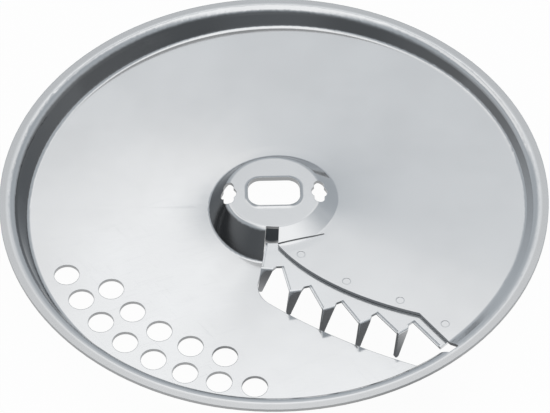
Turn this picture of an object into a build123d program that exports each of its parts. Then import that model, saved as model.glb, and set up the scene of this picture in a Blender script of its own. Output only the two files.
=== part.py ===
from build123d import *

import os
from math import asin, atan2, ceil, cos, degrees, hypot, log, radians, sin, tan

# Food processor disc that cuts strips: a pressed steel plate with a toothed blade welded under one edge.
# Millimetres and degrees. The axis is Z, the blade's tine tips are at Z 0, and azimuths turn from +X to +Y.

# Plate: one sheet with a flange, a rim wall, a floor and a raised hub
outer_diameter = 145.0
plate_sheet = 0.9
flange_width = 2.1
rim_wall_run = 3.6
rim_wall_lean = 0.27
rim_shoulder_radius = 2.8
rim_foot_radius = 1.2
hub_flat_diameter = 24.0
hub_wall_run = 5.5
hub_foot_left = 0.3
hub_foot_forward = 0.6
hub_shoulder_radius = 1.8
hub_foot_radius = 0.8

# Heights: the floor climbs clockwise from the low side of the opening to the level land over the blade
tine_length = 9.4
weld_height = 0.15
floor_climb = 7.05
flange_above_land = 1.9
hub_below_flange = 0.8
climb_start_azimuth = -100.0
climb_sweep = 295.0
climb_easing = 20.0

# High edge of the opening: swept back from the rim at a steady angle, then straight to the rim wall
edge_bend_inset = 15.6
edge_bend_azimuth = -47.4
edge_sweep = 30.8
edge_end_azimuth = -48.5

# Low edge of the opening: a radial side by the hub, a rounded corner and a long bow to the rim wall
low_side_length = 11.6
low_corner_radius = 7.5
low_edge_radius = 150.0
low_edge_end_azimuth = -51.1
hub_notch_width = 1.3
hub_bend_share = 0.75
rim_bend_share = 0.4

# Lance that frees the tip of the land from the hub
lance_width = 0.35
lance_start_azimuth = -90.0
lance_end_azimuth = -46.5
lance_end_outset = 1.4

# Round holes in two arcs on the low side
hole_diameter = 6.6
outer_row_inset = 11.75
outer_row_azimuth = 202.8
outer_row_pitch = 8.93
outer_row_count = 8
inner_row_inset = 20.05
inner_row_azimuth = 212.9
inner_row_pitch = 10.7
inner_row_count = 5

# Hub features, turned together about the axis
hub_turn = 1.5
slot_length = 13.8
slot_width = 9.7
slot_corner_radius = 3.4
collar_height = 0.4
collar_flare_radius = 1.2
collar_lip = 0.2
collar_margin = 0.2
key_hole_distance = 12.0
key_hole_diameter = 4.2
key_slot_length = 7.4
key_slot_width = 2.7

# Blade: one strip with stepped teeth, each ending in a tine folded down
blade_sheet = 0.8
blade_hub_overlap = 1.38
blade_rim_inset = 4.5
tooth_pitch = 7.79
tooth_lead = 2.45
tooth_sweep = 36.3
tooth_depth = 6.3
tooth_overlap = 1.05
tooth_gap = 1.4
bevel_width = 1.8
bevel_depth = 0.5
bevel_end_gap = 0.3
blade_back_width = 6.5
blade_side_clearance = 0.5

# Tines
tine_width = 3.0
tine_tip_radius = 0.6
tine_rake = 0.8
fold_radius = 0.5
fold_inner_radius = 0.2

# Spot welds that hold the blade
weld_count = 4
weld_diameter = 2.1
first_weld_outset = 4.35
last_weld_inset = 4.15
weld_setback = 2.9

# How the sheet is lofted: sections in turn from the axis side, in two sectors that overlap at the opening
section_step = 11.0
low_side_turn = -62.0
joint_turn = 80.0
full_turn = 360.0
hub_split_azimuth = -90.0
seam_overrun = 4.0
core_inset = 1.0
curve_points = 6

# Places worked out from the sizes above
outer_radius = outer_diameter / 2
flange_inner_radius = outer_radius - flange_width
hub_flat_radius = hub_flat_diameter / 2
floor_inner_radius = hub_flat_radius + hub_wall_run
edge_bend_radius = flange_inner_radius - edge_bend_inset
low_corner_distance = floor_inner_radius + low_side_length
outer_row_radius = flange_inner_radius - outer_row_inset
inner_row_radius = flange_inner_radius - inner_row_inset
blade_inner_radius = floor_inner_radius - blade_hub_overlap
blade_outer_radius = flange_inner_radius - blade_rim_inset
tooth_count = 1 + round((edge_bend_radius - blade_inner_radius) / tooth_pitch)
first_weld_radius = floor_inner_radius + first_weld_outset
last_weld_radius = blade_outer_radius - last_weld_inset
collar_reach = collar_flare_radius - collar_lip + collar_margin
core_radius = slot_width / 2 - core_inset
blade_top = tine_length
land_top = blade_top + weld_height + plate_sheet
low_top = land_top - floor_climb
flange_top = land_top + flange_above_land
hub_top = flange_top - hub_below_flange
through_height = 2 * flange_top
far_radius = 2 * outer_radius


def polar(radius, azimuth, height=0.0):
    """Point at a distance from the axis and an azimuth."""
    return Vector(radius * cos(radians(azimuth)), radius * sin(radians(azimuth)), height)


def floor_height(turn):
    """Height of the floor's upper face, clockwise from the start of the climb, with eased ends."""
    slope = floor_climb / (climb_sweep - climb_easing)
    passed = min(max(turn, 0.0), climb_sweep)
    left = climb_sweep - passed
    if passed < climb_easing:
        return low_top + slope * passed**2 / (2 * climb_easing)
    if left < climb_easing:
        return land_top - slope * left**2 / (2 * climb_easing)
    return low_top + slope * (passed - climb_easing / 2)


def wall_slope(run, drop, shoulder, foot):
    """Angle that a wall's straight part falls at, between its two bends."""
    bends = shoulder + foot
    return atan2(drop - bends, run) + asin(bends / hypot(run, drop - bends))


def rim_run(drop):
    """Plan width of the rim wall, which leans, down to a floor."""
    return rim_wall_run + rim_wall_lean * drop


def hub_run(azimuth):
    """Plan width of the hub wall, whose foot lies a little to the left and the front."""
    return hub_wall_run - hub_foot_left * cos(radians(azimuth)) - hub_foot_forward * sin(radians(azimuth))


def wall_path(top, run, drop, shoulder, foot, side, depth):
    """Shoulder bend, straight and foot bend down from a flat; depth is measured into the sheet."""
    slope = wall_slope(run, drop, shoulder, foot)
    shoulder_centre = top - Vector(0, shoulder)
    foot_centre = top + Vector(side * run, foot - drop)

    def on_shoulder(angle):
        return shoulder_centre + Vector(side * sin(angle), cos(angle)) * (shoulder - depth)

    def on_foot(angle):
        return foot_centre - Vector(side * sin(angle), cos(angle)) * (foot + depth)

    return [
        ThreePointArc(on_shoulder(0), on_shoulder(slope / 2), on_shoulder(slope)),
        Line(on_shoulder(slope), on_foot(slope)),
        ThreePointArc(on_foot(slope), on_foot(slope / 2), on_foot(0)),
    ]


def face_path(azimuth, floor, depth):
    """One face of the sheet from the hub to the flange, in radius and height."""
    hub = Vector(hub_flat_radius, hub_top)
    rim = Vector(flange_inner_radius, flange_top)
    down = Vector(0, depth)
    run = hub_run(azimuth)
    hub_wall = wall_path(hub, run, hub_top - floor, hub_shoulder_radius, hub_foot_radius, 1, depth)
    drop = flange_top - floor
    rim_wall = wall_path(rim, rim_run(drop), drop, rim_shoulder_radius, rim_foot_radius, -1, depth)
    floor_start = Vector(hub_flat_radius + run, floor)
    floor_end = Vector(flange_inner_radius - rim_run(drop), floor)
    return [
        Line(Vector(core_radius, hub_top) - down, hub - down),
        *hub_wall,
        Line(floor_start - down, floor_end - down),
        *rim_wall,
        Line(rim - down, Vector(outer_radius, flange_top) - down),
    ]


def sheet_section(turn):
    """Radial section of the sheet at a turn clockwise from the start of the climb."""
    azimuth = climb_start_azimuth - turn
    floor = floor_height(turn)
    ends = [
        Line((radius, height), (radius, height - plate_sheet))
        for radius, height in ((core_radius, hub_top), (outer_radius, flange_top))
    ]
    outline = Wire(face_path(azimuth, floor, 0.0) + face_path(azimuth, floor, plate_sheet) + ends)
    plane = Plane((0, 0, 0), x_dir=polar(1, azimuth), z_dir=polar(1, azimuth - 90))
    return plane * Face(outline)


def sheet_sector(first_turn, last_turn):
    """Pressed sheet between two turns."""
    steps = ceil((last_turn - first_turn) / section_step)
    turns = [first_turn + (last_turn - first_turn) * step / steps for step in range(steps + 1)]
    return loft([sheet_section(turn) for turn in turns])


def swept_azimuth(radius, reference_radius, reference_azimuth, sweep):
    """Azimuth on a curve that crosses every radius at the same angle."""
    return reference_azimuth + degrees(tan(radians(sweep)) * log(radius / reference_radius))


def shared_bend(share, run, drop, shoulder, foot):
    """Plan width of a shoulder bend over which the sheet's high and low ends still agree."""
    return share * (shoulder - plate_sheet) * sin(wall_slope(run, drop, shoulder, foot))


land_drop = flange_top - land_top
land_run = rim_run(land_drop)
wall_relief = shared_bend(rim_bend_share, land_run, land_drop, rim_shoulder_radius, rim_foot_radius)
split_run = hub_run(hub_split_azimuth)
split_drop = hub_top - land_top
hub_relief = shared_bend(hub_bend_share, split_run, split_drop, hub_shoulder_radius, hub_foot_radius)
wall_end_radius = flange_inner_radius - wall_relief
hub_end_radius = hub_flat_radius + hub_relief
edge_bend = polar(edge_bend_radius, edge_bend_azimuth)
edge_end = polar(wall_end_radius, edge_end_azimuth)


def edge_azimuth(radius):
    """Azimuth of the plate's high edge at a distance from the axis."""
    if radius <= edge_bend_radius:
        return swept_azimuth(radius, edge_bend_radius, edge_bend_azimuth, edge_sweep)
    share = (radius - edge_bend_radius) / (wall_end_radius - edge_bend_radius)
    return edge_bend_azimuth + (edge_end_azimuth - edge_bend_azimuth) * share


def tooth_radius(tooth):
    """Distance from the axis of a tooth's inner corner."""
    return blade_inner_radius + tooth * tooth_pitch


def root_azimuth(radius):
    """Azimuth of the curve that the roots of the teeth lie on, ahead of the plate's edge."""
    last_radius = tooth_radius(tooth_count - 1)
    last_azimuth = edge_azimuth(last_radius) - degrees(tooth_lead / last_radius)
    return swept_azimuth(radius, last_radius, last_azimuth, tooth_sweep)


def fold_start(tooth):
    """Leading corner of a tine's fold, at the outer end of its tooth."""
    radius = tooth_radius(tooth + 1) + tooth_overlap
    return polar(radius, root_azimuth(radius) - degrees(tooth_depth / radius))


def azimuth_of(point):
    """Azimuth of a point in plan."""
    return degrees(atan2(point.Y, point.X))


def spaced(first, last, count):
    """Evenly spaced values from the first to the last."""
    return [first + (last - first) * step / (count - 1) for step in range(count)]


def rim_arc(radius, first_azimuth, last_azimuth):
    """Arc about the axis."""
    middle = (first_azimuth + last_azimuth) / 2
    return ThreePointArc(polar(radius, first_azimuth), polar(radius, middle), polar(radius, last_azimuth))


def through_prism(outline):
    """Upright solid with a plan outline, from below the disc to above it."""
    return extrude(outline, through_height, dir=(0, 0, 1), both=True)


split_azimuth = (edge_end_azimuth + low_edge_end_azimuth) / 2
hub_split = polar(hub_end_radius, hub_split_azimuth)
side_azimuth = azimuth_of(fold_start(0)) - degrees(blade_side_clearance / blade_inner_radius)


def outside(azimuths):
    """Lines that close a cutter far outside the rim and lead back to the axis."""
    points = [polar(wall_end_radius, split_azimuth)]
    points += [polar(far_radius, azimuth) for azimuth in azimuths]
    return list(Polyline(*points, (0, 0)).edges())


def low_side_cutter():
    """Everything ahead of the high edge, which the high end of the sheet loses."""
    edge_radii = spaced(floor_inner_radius, edge_bend_radius, curve_points)
    edge_points = [polar(radius, edge_azimuth(radius)) for radius in edge_radii]
    hub_corner = hub_split + Vector(hub_notch_width, 0)
    edges = [
        *Polyline((0, 0), hub_split, hub_corner, edge_points[0]).edges(),
        Spline(*edge_points),
        Line(edge_bend, edge_end),
        rim_arc(wall_end_radius, edge_end_azimuth, split_azimuth),
        *outside(spaced(split_azimuth, climb_start_azimuth - seam_overrun, 3)),
    ]
    return through_prism(Face(Wire(edges)))


def high_side_cutter():
    """Everything behind the low edge, which the low end of the sheet loses."""
    side_start = polar(hub_end_radius, side_azimuth)
    corner = polar(low_corner_distance, side_azimuth)
    end = polar(wall_end_radius, low_edge_end_azimuth)
    edges = [
        Line((0, 0), hub_split),
        Line(hub_split, side_start),
        Line(side_start, corner),
        RadiusArc(corner, end, -low_edge_radius),
        rim_arc(wall_end_radius, low_edge_end_azimuth, split_azimuth),
        *outside((split_azimuth, climb_start_azimuth - low_side_turn + seam_overrun)),
    ]
    outline = Face(Wire(edges))
    rounded = outline.vertices().sort_by_distance(corner)[0]
    return through_prism(outline.fillet_2d(low_corner_radius, [rounded]))


def round_holes():
    """Bars that cut the two arcs of round holes."""
    rows = (
        (outer_row_radius, outer_row_azimuth, outer_row_pitch, outer_row_count),
        (inner_row_radius, inner_row_azimuth, inner_row_pitch, inner_row_count),
    )
    bar = through_prism(Face(Wire.make_circle(hole_diameter / 2)))
    return [
        Pos(polar(radius, first + pitch * place)) * bar
        for radius, first, pitch, count in rows
        for place in range(count)
    ]


def slot_outline(growth):
    """Drive slot's outline, grown on every side."""
    return RectangleRounded(slot_length + 2 * growth, slot_width + 2 * growth, slot_corner_radius + growth)


def drive_collar():
    """Patch of the hub's flat round the drive slot, with the slot's edge drawn up into a flared collar."""
    patch = extrude(slot_outline(collar_reach), plate_sheet)
    core = extrude(slot_outline(-collar_lip), plate_sheet + 2 * collar_flare_radius)
    collar = patch + core
    collar = fillet(new_edges(patch, core, combined=collar), collar_flare_radius)
    collar = split(collar, Plane.XY.offset(plate_sheet + collar_height), Keep.BOTTOM)
    collar -= through_prism(slot_outline(0.0))
    return Pos(0, 0, hub_top - plate_sheet) * Rot(0, 0, hub_turn) * collar


def key_holes():
    """Bars that cut the two cross-shaped holes beside the drive slot."""
    cross = Circle(key_hole_diameter / 2) + Rot(0, 0, 90) * SlotOverall(key_slot_length, key_slot_width)
    bar = through_prism(cross)
    return [Rot(0, 0, hub_turn + turn) * Pos(key_hole_distance, 0) * bar for turn in (0, 180)]


def weld_places():
    """Centres of the spot welds, behind the plate's high edge."""
    radii = spaced(first_weld_radius, last_weld_radius, weld_count)
    return [polar(radius, edge_azimuth(radius) + degrees(weld_setback / radius)) for radius in radii]


def lance():
    """Narrow cut along the foot of the hub, from the notch to the land."""
    start = polar(floor_inner_radius, lance_start_azimuth)
    end = polar(floor_inner_radius + lance_end_outset, lance_end_azimuth)
    middle = (start + end) / 2
    turn = azimuth_of(end - start)
    cut = SlotCenterToCenter((end - start).length, lance_width)
    return Pos(middle) * Rot(0, 0, turn) * through_prism(cut)


def disc_plate():
    """The pressed plate."""
    high_end = sheet_sector(joint_turn, full_turn) - low_side_cutter()
    low_end = sheet_sector(low_side_turn, joint_turn) - high_side_cutter()
    plate = high_end + low_end
    plate -= Rot(0, 0, hub_turn) * through_prism(slot_outline(collar_reach))
    plate += drive_collar()
    plate -= key_holes()
    plate -= round_holes()
    plate -= lance()
    dimple = Cylinder(weld_diameter / 2, 2 * weld_height)
    seat = Cylinder(weld_diameter / 2, plate_sheet, align=(Align.CENTER, Align.CENTER, Align.MIN))
    plate += [Pos(place.X, place.Y, blade_top) * seat for place in weld_places()]
    plate -= [Pos(place.X, place.Y, land_top) * dimple for place in weld_places()]
    return plate


def fold_turn(tooth):
    """Direction of a tine's fold, square to the radius at its middle."""
    corner = fold_start(tooth)
    return azimuth_of(corner) + degrees(asin(tine_width / 2 / corner.length)) + 90


def tooth_start(tooth):
    """Inner corner of a tooth's cutting edge; the first tooth's is radial."""
    radius = tooth_radius(tooth)
    return polar(radius, azimuth_of(fold_start(0)) if tooth == 0 else root_azimuth(radius))


def tooth_end(tooth):
    """Outer corner of a tooth's cutting edge, at its tine or at the blade's outer end."""
    if tooth < tooth_count - 1:
        return fold_start(tooth)
    lead = degrees(tooth_lead / blade_outer_radius)
    return polar(blade_outer_radius, edge_azimuth(blade_outer_radius) - lead)


def blade_front():
    """Corners of the blade's front, from the first tooth to the last."""
    points = []
    for tooth in range(tooth_count - 1):
        fold_end = fold_start(tooth) + polar(tine_width, fold_turn(tooth))
        gap_radius = tooth_radius(tooth + 1)
        gap_corner = polar(gap_radius, root_azimuth(gap_radius) - degrees(tooth_gap / gap_radius))
        points += [tooth_start(tooth), tooth_end(tooth), fold_end, gap_corner]
    last = tooth_count - 1
    return points + [tooth_start(last), tooth_end(last)]


def blade_strip():
    """Flat of the blade: toothed front, and a back that lies under the plate."""
    front = blade_front()
    back_radii = spaced(blade_outer_radius, first_weld_radius, curve_points)
    back = [
        polar(radius, edge_azimuth(radius) + degrees(blade_back_width / radius))
        for radius in back_radii
    ]
    inner_end = Vector(hub_notch_width, front[0].Y)
    edges = [
        *Polyline(inner_end, *front, back[0]).edges(),
        Spline(*back),
        Line(back[-1], inner_end),
    ]
    return extrude(Pos(0, 0, blade_top) * Face(Wire(edges)), blade_sheet, dir=(0, 0, -1))


def ground_bevel(tooth):
    """Wedge that grinds a tooth's upper face down to its cutting edge, up to the fold of its tine."""
    start = tooth_start(tooth)
    end = tooth_end(tooth)
    along = (end - start).normalized()
    length = (end - start).length - fold_radius - bevel_end_gap
    plane = Plane(start + Vector(0, 0, blade_top), x_dir=along.cross(Vector(0, 0, -1)), z_dir=along)
    corners = [(0, -bevel_depth), (-bevel_width, 0), (-bevel_width, bevel_depth), (bevel_depth, bevel_depth),
               (bevel_depth, -bevel_depth)]
    return extrude(plane * make_face(Polyline(*corners, close=True)), length, dir=along)


def tine(tooth):
    """Tine that hangs from a tooth's outer end."""
    corner = fold_start(tooth) + Vector(0, 0, blade_top)
    plane = Plane(corner, x_dir=polar(1, fold_turn(tooth)), z_dir=polar(1, fold_turn(tooth) - 90))
    tip_height = tine_tip_radius - tine_length
    tip_start = (-tine_rake, tip_height)
    tip = (tine_tip_radius - tine_rake, -tine_length)
    tip_end = (2 * tine_tip_radius - tine_rake, tip_height)
    edges = [
        Line((0, 0), tip_start),
        ThreePointArc(tip_start, tip, tip_end),
        *Polyline(tip_end, (tine_width, -blade_sheet), (tine_width, 0), (0, 0)).edges(),
    ]
    return extrude(plane * Face(Wire(edges)), blade_sheet, dir=polar(1, fold_turn(tooth) + 90))


def fold_edges(blade, tooth, height, inset):
    """Edge of a fold at a height and a distance in from the tine's outer face."""
    along = polar(1, fold_turn(tooth))
    middle = fold_start(tooth) + along * tine_width / 2 + polar(inset, fold_turn(tooth) + 90)
    return blade.edges().sort_by_distance(middle + Vector(0, 0, height))[0]


def cutter_blade():
    """The toothed blade."""
    blade = blade_strip()
    blade -= [ground_bevel(tooth) for tooth in range(tooth_count)]
    for tooth in range(tooth_count - 1):
        blade += tine(tooth)
    outer = [fold_edges(blade, tooth, blade_top, 0.0) for tooth in range(tooth_count - 1)]
    blade = fillet(outer, fold_radius)
    inner_height = blade_top - blade_sheet
    inner = [fold_edges(blade, tooth, inner_height, blade_sheet) for tooth in range(tooth_count - 1)]
    return fillet(inner, fold_inner_radius)


os.makedirs("parts", exist_ok=True)
export_step(disc_plate(), "parts/disc_plate.step")
export_step(cutter_blade(), "parts/cutter_blade.step")
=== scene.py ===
from math import cos, pi, radians, sin

import bpy
from bpy.props import FloatProperty, FloatVectorProperty, PointerProperty
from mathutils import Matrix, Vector


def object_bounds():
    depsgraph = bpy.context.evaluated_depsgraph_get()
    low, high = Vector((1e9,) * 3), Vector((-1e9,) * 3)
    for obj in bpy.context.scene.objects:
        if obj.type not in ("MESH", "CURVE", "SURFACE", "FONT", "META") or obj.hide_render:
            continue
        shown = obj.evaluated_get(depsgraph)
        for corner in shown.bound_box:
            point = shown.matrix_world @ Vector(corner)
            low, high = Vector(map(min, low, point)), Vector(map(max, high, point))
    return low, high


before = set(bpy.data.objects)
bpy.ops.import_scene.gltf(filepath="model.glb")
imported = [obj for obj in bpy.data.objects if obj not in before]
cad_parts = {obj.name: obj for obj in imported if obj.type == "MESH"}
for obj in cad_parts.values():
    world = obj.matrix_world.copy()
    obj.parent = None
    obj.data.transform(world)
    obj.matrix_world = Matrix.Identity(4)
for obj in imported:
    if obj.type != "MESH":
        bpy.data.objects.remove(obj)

bl_info = {
    "name": "Food Processor Disc",
    "version": (1, 0, 0),
    "blender": (4, 5, 0),
    "location": "View3D > Sidebar > Disc",
    "description": "Dresses a pressed steel cutting disc and sets up its studio",
    "category": "Object",
}

MILLIMETRE = 0.001
CAD_LOW, CAD_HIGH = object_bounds()
WHITE = (1.0, 1.0, 1.0, 1.0)
BLACK = (0.0, 0.0, 0.0, 1.0)

# Turns of each pattern per metre of steel
CLOUDS = 45.0
WAVES = 70.0
RINGS = 2200.0
GRAIN = (300.0, 6000.0, 3000.0)

# Fine scratches: turns per metre, direction, and the level of the noise that a scratch starts at
SCRATCHES = (((60.0, 7000.0, 3000.0), radians(24.0), 0.70), ((80.0, 6000.0, 3000.0), radians(-52.0), 0.71))

# Share of the steel's colour in clouds, on the rubbed flange (painted shade), worn edges, steeply sloping
# walls (painted shade) and sheared edges
CLOUD_SHADE = 0.95
FLANGE_PAINTED_SHADE = 0.8
EDGE_SHADE = 1.1
PAINTED_WALL_SHADE = 0.25
SHEARED_SHADE = 0.5

# Height of the soft waves and of the fine grain
WAVE_HEIGHT = 0.03 * MILLIMETRE
GRAIN_HEIGHT = 0.05 * MILLIMETRE


class Value:
    """A shader socket that takes part in sums and products."""

    def __init__(self, web, socket):
        self.web = web
        self.socket = socket

    def __add__(self, other):
        return self.web.math("ADD", self, other)

    def __sub__(self, other):
        return self.web.math("SUBTRACT", self, other)

    def __mul__(self, other):
        return self.web.math("MULTIPLY", self, other)

    def __truediv__(self, other):
        return self.web.math("DIVIDE", self, other)

    def __radd__(self, other):
        return self.web.math("ADD", other, self)

    def __rsub__(self, other):
        return self.web.math("SUBTRACT", other, self)

    def __rmul__(self, other):
        return self.web.math("MULTIPLY", other, self)

    def __rtruediv__(self, other):
        return self.web.math("DIVIDE", other, self)


class Web:
    """The nodes of one material or world, started empty."""

    def __init__(self, owner):
        owner.use_nodes = True
        self.tree = owner.node_tree
        self.tree.nodes.clear()

    def node(self, kind, settings=None, inputs=None):
        """Adds a node, sets it up, then fills its sockets with values or links."""
        made = self.tree.nodes.new(kind)
        for name, value in (settings or {}).items():
            if name == "stops":
                self.fill_ramp(made.color_ramp, value)
            else:
                setattr(made, name, value)
        for name, value in (inputs or {}).items():
            if isinstance(value, Value):
                self.tree.links.new(value.socket, made.inputs[name])
            else:
                made.inputs[name].default_value = value
        return made

    def get(self, kind, output, settings=None, inputs=None):
        """Adds a node and hands back one of its outputs."""
        return Value(self, self.node(kind, settings, inputs).outputs[output])

    def math(self, operation, *values):
        return self.get("ShaderNodeMath", 0, {"operation": operation}, dict(enumerate(values)))

    def fill_ramp(self, ramp, stops):
        """Gives a colour ramp its stops, as places and colours."""
        while len(ramp.elements) < len(stops):
            ramp.elements.new(1.0)
        for element, (place, color) in zip(ramp.elements, stops):
            element.position = place
            element.color = (*color, 1.0)

    def smooth(self, value, low, high):
        """Rises softly from 0 at the low end to 1 at the high end."""
        settings = {"interpolation_type": "SMOOTHSTEP"}
        return self.get("ShaderNodeMapRange", 0, settings, {0: value, 1: low, 2: high, 3: 0.0, 4: 1.0})

    def band(self, value, start, full, fade, end):
        """Rises softly from 0 at the start to 1 when full, and falls from the fade to 0 at the end."""
        return self.smooth(value, start, full) * (1.0 - self.smooth(value, fade, end))

    def noise(self, place, scale, detail):
        return self.get("ShaderNodeTexNoise", 0, {}, {"Vector": place, "Scale": scale, "Detail": detail})

    def split(self, vector):
        """The three parts of a vector."""
        parts = self.node("ShaderNodeSeparateXYZ", {}, {"Vector": vector}).outputs
        return [Value(self, part) for part in parts]

    def blend(self, share, first, second):
        """Mixes two colours."""
        return self.get("ShaderNodeMix", 2, {"data_type": "RGBA"}, {0: share, 6: first, 7: second})


class FinishSettings(bpy.types.PropertyGroup):
    """Colours and grain of the two steels."""

    plate_color: FloatVectorProperty(
        name="Plate colour", description="Colour of the pressed sheet", subtype="COLOR",
        default=(0.74, 0.75, 0.76), min=0.0, max=1.0)
    plate_roughness: FloatProperty(
        name="Plate roughness", description="How far the sheet blurs what it mirrors", subtype="FACTOR",
        default=0.11, min=0.0, max=1.0)
    blade_color: FloatVectorProperty(
        name="Blade colour", description="Colour of the blade's strip", subtype="COLOR",
        default=(0.79, 0.80, 0.81), min=0.0, max=1.0)
    blade_roughness: FloatProperty(
        name="Blade roughness", description="How far the strip blurs what it mirrors", subtype="FACTOR",
        default=0.2, min=0.0, max=1.0)
    edge_round: FloatProperty(
        name="Edge rounding", description="Radius of the worn edges", unit="LENGTH",
        default=0.2 * MILLIMETRE, min=0.0)
    hub_radius: FloatProperty(
        name="Hub radius", description="Out to the foot of the pressed hub", unit="LENGTH",
        default=18.0 * MILLIMETRE, min=0.0)
    wall_radius: FloatProperty(
        name="Rim wall radius", description="Out to the foot of the rim wall", unit="LENGTH",
        default=65.0 * MILLIMETRE, min=0.0)
    # Past this radius the flange gets painted shade in its colour, as well as a rubbed finish in its
    # roughness
    rim_radius: FloatProperty(
        name="Flange radius", description="Out to the inner edge of the rubbed flange", unit="LENGTH",
        default=CAD_HIGH.x - 2.1 * MILLIMETRE, min=0.0)


class StudioSettings(bpy.types.PropertyGroup):
    """Camera and light."""

    camera_elevation: FloatProperty(
        name="Camera elevation", description="Angle of the view above the floor", subtype="ANGLE",
        default=radians(48.582))
    camera_distance: FloatProperty(
        name="Camera distance", description="From the camera to the point that it looks at", unit="LENGTH",
        default=688.75 * MILLIMETRE)
    camera_target: FloatVectorProperty(
        name="Camera target", description="Point that the camera looks at", subtype="TRANSLATION",
        default=(0.28 * MILLIMETRE, -5.83 * MILLIMETRE, 12.35 * MILLIMETRE))
    lens: FloatProperty(
        name="Lens", description="Focal length on a 36 mm sensor", default=171.44, min=1.0)
    floor_size: FloatProperty(
        name="Floor size", description="Side of the white floor", unit="LENGTH", default=4.0)
    hub_shade_middle: FloatVectorProperty(
        name="Hub shade", description="Middle of the shade under the hub's notch", size=2, unit="LENGTH",
        default=(-0.5 * MILLIMETRE, -4.5 * MILLIMETRE))
    hub_shade_reach: FloatVectorProperty(
        name="Hub shade reach", description="Half the width and depth of that shade", size=2, unit="LENGTH",
        default=(6.0 * MILLIMETRE, 6.0 * MILLIMETRE))
    blade_shade_middle: FloatVectorProperty(
        name="Blade shade", description="Middle of the shade under the blade", size=2, unit="LENGTH",
        default=(14.0 * MILLIMETRE, -46.0 * MILLIMETRE))
    blade_shade_reach: FloatVectorProperty(
        name="Blade shade reach", description="Half its length and width", size=2, unit="LENGTH",
        default=(52.0 * MILLIMETRE, 28.0 * MILLIMETRE))
    blade_shade_turn: FloatProperty(
        name="Blade shade turn", description="Direction that it lies in", subtype="ANGLE",
        default=radians(-31.0))


def finish():
    return bpy.context.scene.disc_finish


def studio():
    return bpy.context.scene.disc_studio


def object_place(web):
    return web.get("ShaderNodeTexCoord", "Object")


def stretched(web, place, scale, turn=0.0):
    """Object coordinates stretched along the axes, in turns of the pattern per metre."""
    settings = {"vector_type": "TEXTURE"}
    inputs = {"Vector": place, "Rotation": (0, 0, turn), "Scale": tuple(1.0 / part for part in scale)}
    return web.get("ShaderNodeMapping", 0, settings, inputs)


def shaded(color, share):
    """The steel's colour made darker or brighter."""
    return (*(min(1.0, share * part) for part in color), 1.0)


def steel(name, color, roughness, drawn):
    """Satin stainless steel with grain, soft waves, handling marks, worn edges and painted shade on the
    outer flange.

    A drawn sheet has steeply sloping walls darkened with painted shade, rings and sheared edges, any other
    has ground edges.
    """
    material = bpy.data.materials.new(name)
    web = Web(material)
    look = finish()
    place = object_place(web)
    along, across, _ = web.split(place)
    radius = web.math("SQRT", along * along + across * across)
    clouds = web.noise(place, CLOUDS, 3.0)
    grain = web.noise(stretched(web, place, GRAIN), 1.0, 3.0)
    ring_inputs = {"W": radius, "Scale": RINGS, "Detail": 2.0}
    rings = web.get("ShaderNodeTexNoise", 0, {"noise_dimensions": "1D"}, ring_inputs)
    near_hub = 1.0 - web.smooth(radius, look.hub_radius, 1.15 * look.hub_radius)
    pressed = near_hub + web.smooth(radius, 0.97 * look.wall_radius, look.wall_radius)
    scratches = 0.0
    for scale, turn, level in SCRATCHES:
        marks = web.noise(stretched(web, place, scale, turn), 1.0, 1.0)
        scratches += web.smooth(marks, level, level + 0.04)
    rounded = web.get("ShaderNodeBevel", 0, {"samples": 8}, {"Radius": look.edge_round})
    flat = web.get("ShaderNodeNewGeometry", "Normal")
    likeness = {"operation": "DOT_PRODUCT"}
    square = web.get("ShaderNodeVectorMath", "Value", likeness, {0: rounded, 1: flat})
    worn = web.smooth(1.0 - square, 0.02, 0.20)
    upright = web.math("ABSOLUTE", web.split(flat)[2])
    sheared = float(drawn) * (1.0 - web.smooth(upright, 0.12, 0.22))
    # Painted shade: the steeply sloping walls of a drawn sheet get a darker colour than its flats
    wall_shade_mask = float(drawn) * (1.0 - web.smooth(upright, 0.60, 0.85))
    ground = float(not drawn) * web.band(upright, 0.80, 0.90, 0.975, 0.99)
    # Outer flange: painted shade in the colour below, and a rubbed finish in the roughness
    rim = web.smooth(radius, look.rim_radius, 1.01 * look.rim_radius)
    tint = web.blend(web.smooth(clouds, 0.3, 0.7), shaded(color, CLOUD_SHADE), shaded(color, 1.0))
    tint = web.blend(rim, tint, shaded(color, FLANGE_PAINTED_SHADE))
    tint = web.blend(web.math("MAXIMUM", worn, ground), tint, shaded(color, EDGE_SHADE))
    tint = web.blend(wall_shade_mask, tint, shaded(color, PAINTED_WALL_SHADE))
    tint = web.blend(sheared, tint, shaded(color, SHEARED_SHADE))
    rough = roughness + 0.04 * (clouds - 0.5) + 0.05 * (grain - 0.5) + 0.06 * scratches
    rough += 0.05 * rim + 0.25 * sheared + 0.15 * ground - 0.04 * worn
    wave = web.noise(place, WAVES, 1.0) * (1.0 - 0.8 * near_hub)
    wave_inputs = {"Strength": 1.0, "Distance": WAVE_HEIGHT, "Height": wave, "Normal": rounded}
    waved = web.get("ShaderNodeBump", 0, {}, wave_inputs)
    height = grain + 0.5 * rings * pressed - 0.3 * scratches
    grain_inputs = {"Strength": 0.05, "Distance": GRAIN_HEIGHT, "Height": height, "Normal": waved}
    bump = web.get("ShaderNodeBump", 0, {}, grain_inputs)
    surface = {"Base Color": tint, "Metallic": 1.0, "Roughness": rough, "Normal": bump}
    shader = web.get("ShaderNodeBsdfPrincipled", 0, {}, surface)
    web.node("ShaderNodeOutputMaterial", {}, {"Surface": shader})
    return material


def paint(node, material):
    """Gives a CAD node one material."""
    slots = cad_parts[node].data.materials
    slots.clear()
    slots.append(material)


class DISC_OT_plate(bpy.types.Operator):
    """Dress the pressed plate"""

    bl_idname = "disc.plate"
    bl_label = "Plate"

    def execute(self, context):
        look = finish()
        paint("disc_plate", steel("plate_steel", look.plate_color, look.plate_roughness, True))
        return {"FINISHED"}


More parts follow.
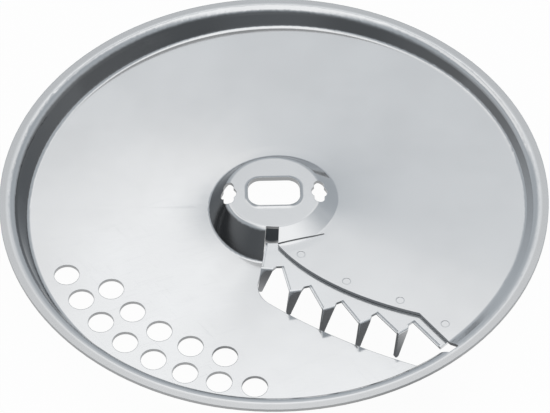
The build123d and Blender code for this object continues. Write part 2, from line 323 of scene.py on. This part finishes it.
class DISC_OT_blade(bpy.types.Operator):
    """Dress the toothed blade"""

    bl_idname = "disc.blade"
    bl_label = "Blade"

    def execute(self, context):
        look = finish()
        paint("cutter_blade", steel("blade_steel", look.blade_color, look.blade_roughness, False))
        return {"FINISHED"}


def oval(web, place, middle, reach, turn):
    """Soft spot on the floor, 1 in its middle and 0 outside its reach."""
    settings = {"vector_type": "TEXTURE"}
    inputs = {"Vector": place, "Location": (*middle, 0.0), "Rotation": (0, 0, turn), "Scale": (*reach, 1.0)}
    inside = web.get("ShaderNodeMapping", 0, settings, inputs)
    distance = web.get("ShaderNodeVectorMath", "Value", {"operation": "LENGTH"}, {0: inside})
    return 1.0 - web.smooth(distance, 0.4, 1.0)


WHITE_PAPER = (0.85, 0.85, 0.85, 1.0)
SHADED_PAPER = (0.09, 0.10, 0.11, 1.0)


def floor_material():
    """White paper that looks evenly lit, with shade under the hub and the blade."""
    material = bpy.data.materials.new("white_paper")
    web = Web(material)
    settings = studio()
    place = object_place(web)
    under_hub = oval(web, place, settings.hub_shade_middle, settings.hub_shade_reach, 0.0)
    blade_turn = settings.blade_shade_turn
    under_blade = oval(web, place, settings.blade_shade_middle, settings.blade_shade_reach, blade_turn)
    light = web.node("ShaderNodeLightPath")
    camera, glossy = (Value(web, light.outputs[name]) for name in ("Is Camera Ray", "Is Glossy Ray"))
    shade = web.math("MAXIMUM", under_hub, under_blade)
    paper_color = web.blend(shade, WHITE_PAPER, SHADED_PAPER)
    paper = web.get("ShaderNodeBsdfDiffuse", 0, {}, {"Color": paper_color})
    glow = web.get("ShaderNodeEmission", 0, {}, {"Color": WHITE, "Strength": 1.0})
    lit = 0.97 * (camera * (1.0 - under_hub) + glossy * (1.0 - 0.9 * under_blade))
    mixed = web.get("ShaderNodeMixShader", 0, {}, {0: lit, 1: paper, 2: glow})
    web.node("ShaderNodeOutputMaterial", {}, {"Surface": mixed})
    return material


# Brightness of the studio round an arc from the far horizon over the top to the near horizon, in degrees
STUDIO_ARC = (
    (0.0, 0.42), (18.0, 0.48), (30.0, 0.56), (40.0, 0.70), (43.0, 0.78), (46.0, 0.83), (48.5, 0.85),
    (50.0, 0.92), (52.0, 1.0), (56.0, 1.02), (58.0, 0.70), (61.0, 0.85), (65.0, 1.15), (112.0, 1.15),
    (121.0, 0.75), (129.0, 0.52), (135.0, 0.46), (146.0, 0.50), (157.0, 0.58), (168.0, 0.50), (180.0, 0.40),
)

# Brightness of the studio's sides, by the share of a direction that points across
STUDIO_SIDES = ((0.0, 0.6), (0.3, 0.54), (0.45, 0.48), (0.65, 0.48), (0.8, 0.58), (1.0, 0.7))


def cool(level):
    """Colour of a brightness, bluer where it is darker."""
    share = min(level, 1.0)
    return (level * (0.88 + 0.12 * share), level, level * (1.12 - 0.12 * share))


# Where the far panel and the window at the left start, are full, fade and end: on the arc in half turns,
# and by the share of a direction that points aside or to the left
PANEL_ARC = (50.0 / 180.0, 52.5 / 180.0, 54.0 / 180.0, 58.0 / 180.0)
PANEL_ASIDE = (0.03, 0.10)
PANEL_LIGHT = (2.0, 2.0, 2.0, 1.0)
WINDOW_ARC = (0.27, 0.31, 0.42, 0.47)
WINDOW_LEFT = (0.20, 0.30, 0.50, 0.60)


def studio_world():
    """Pale room, brightest overhead, with a panel at the far side and a window at the left."""
    world = bpy.data.worlds.new("studio")
    bpy.context.scene.world = world
    web = Web(world)
    across, along, up = web.split(web.get("ShaderNodeTexCoord", "Generated"))
    aside = web.math("ABSOLUTE", across)
    turn = web.math("ARCTAN2", up, along) / pi
    middle_stops = [(angle / 180.0, cool(level)) for angle, level in STUDIO_ARC]
    middle = web.get("ShaderNodeValToRGB", 0, {"stops": middle_stops}, {"Fac": turn})
    side_stops = [(share, cool(level)) for share, level in STUDIO_SIDES]
    sides = web.get("ShaderNodeValToRGB", 0, {"stops": side_stops}, {"Fac": aside})
    sides = web.blend(0.2 * web.smooth(turn, 0.64, 0.74), sides, BLACK)
    room = web.blend(web.smooth(aside, 0.10, 0.40), middle, sides)
    window = web.band(turn, *WINDOW_ARC) * web.band(0.0 - across, *WINDOW_LEFT)
    room = web.blend(window, room, WHITE)
    panel = 0.22 * web.band(turn, *PANEL_ARC) * (1.0 - web.smooth(aside, *PANEL_ASIDE))
    room = web.blend(panel, room, PANEL_LIGHT)
    seen = web.get("ShaderNodeLightPath", "Is Camera Ray")
    color = web.blend(seen, room, WHITE)
    background = web.get("ShaderNodeBackground", 0, {}, {"Color": color, "Strength": 1.0})
    web.node("ShaderNodeOutputWorld", {}, {"Surface": background})


def add_camera():
    settings = studio()
    target = Vector(settings.camera_target)
    back = Vector((0.0, -cos(settings.camera_elevation), sin(settings.camera_elevation)))
    bpy.ops.object.camera_add(location=target + back * settings.camera_distance)
    camera = bpy.context.active_object
    camera.rotation_euler = (-back).to_track_quat("-Z", "Y").to_euler()
    camera.data.lens = settings.lens
    camera.data.sensor_width = 36.0
    camera.data.clip_start = 0.01
    bpy.context.scene.camera = camera


class DISC_OT_stage(bpy.types.Operator):
    """Set up the floor, the light and the camera"""

    bl_idname = "disc.stage"
    bl_label = "Stage"

    def execute(self, context):
        bpy.ops.mesh.primitive_plane_add(size=studio().floor_size, location=(0, 0, CAD_LOW.z))
        floor = context.active_object
        floor.name = "floor"
        floor.data.materials.append(floor_material())
        studio_world()
        add_camera()
        context.scene.view_settings.view_transform = "Standard"
        return {"FINISHED"}


class DISC_PT_panel(bpy.types.Panel):
    """Sizes, colours and steps of the disc"""

    bl_idname = "DISC_PT_panel"
    bl_label = "Food Processor Disc"
    bl_space_type = "VIEW_3D"
    bl_region_type = "UI"
    bl_category = "Disc"

    def draw(self, context):
        for settings in (context.scene.disc_finish, context.scene.disc_studio):
            for name in settings.__annotations__:
                self.layout.prop(settings, name)
        for operator in OPERATORS:
            self.layout.operator(operator.bl_idname)


OPERATORS = (DISC_OT_plate, DISC_OT_blade, DISC_OT_stage)
CLASSES = (FinishSettings, StudioSettings, *OPERATORS, DISC_PT_panel)


def register():
    for cls in CLASSES:
        bpy.utils.register_class(cls)
    bpy.types.Scene.disc_finish = PointerProperty(type=FinishSettings)
    bpy.types.Scene.disc_studio = PointerProperty(type=StudioSettings)


def unregister():
    del bpy.types.Scene.disc_studio
    del bpy.types.Scene.disc_finish
    for cls in reversed(CLASSES):
        bpy.utils.unregister_class(cls)


def main():
    register()
    bpy.ops.object.select_all(action="DESELECT")
    bpy.ops.disc.plate()
    bpy.ops.disc.blade()
    bpy.ops.disc.stage()


if __name__ == "__main__":
    main()
